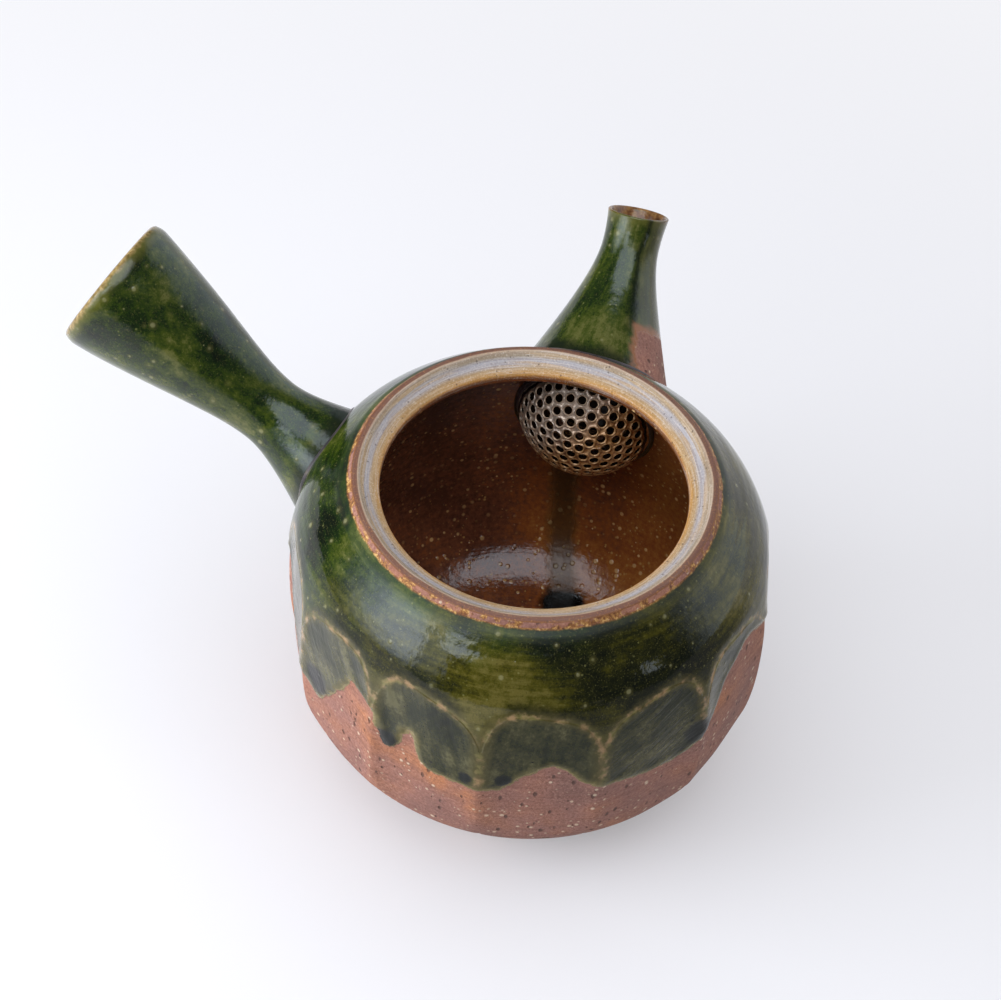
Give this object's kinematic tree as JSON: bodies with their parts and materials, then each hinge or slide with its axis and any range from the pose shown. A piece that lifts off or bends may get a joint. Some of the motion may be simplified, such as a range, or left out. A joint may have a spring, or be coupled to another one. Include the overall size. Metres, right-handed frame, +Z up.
{
  "type": "side-handled teapot",
  "caption": "Small round stoneware teapot with a faceted belly, a hollow side handle, an upturned spout, a sunk lid seat and a pierced ceramic strainer inside.",
  "frame": {"origin": "centre of the flat base, on the surface the pot stands on", "axes": "+Z up, +X towards the spout, the handle lies 79.5 degrees round from +X towards +Y"},
  "size_m": [0.1479, 0.1721, 0.1048],
  "materials": {
    "green_glaze": "glossy copper-green glaze over red-brown stoneware",
    "amber_glaze": "glossy dark amber-brown glaze",
    "slip": "fired slip under a thin run of glaze"
  },
  "bodies": {
    "root": {"body": "green_glaze", "spout": "green_glaze", "spout_slip_joint": "slip", "handle": "green_glaze", "handle_slip_joint": "slip", "strainer": "amber_glaze", "strainer_slip_joint": "slip"}
  },
  "joints": []
}
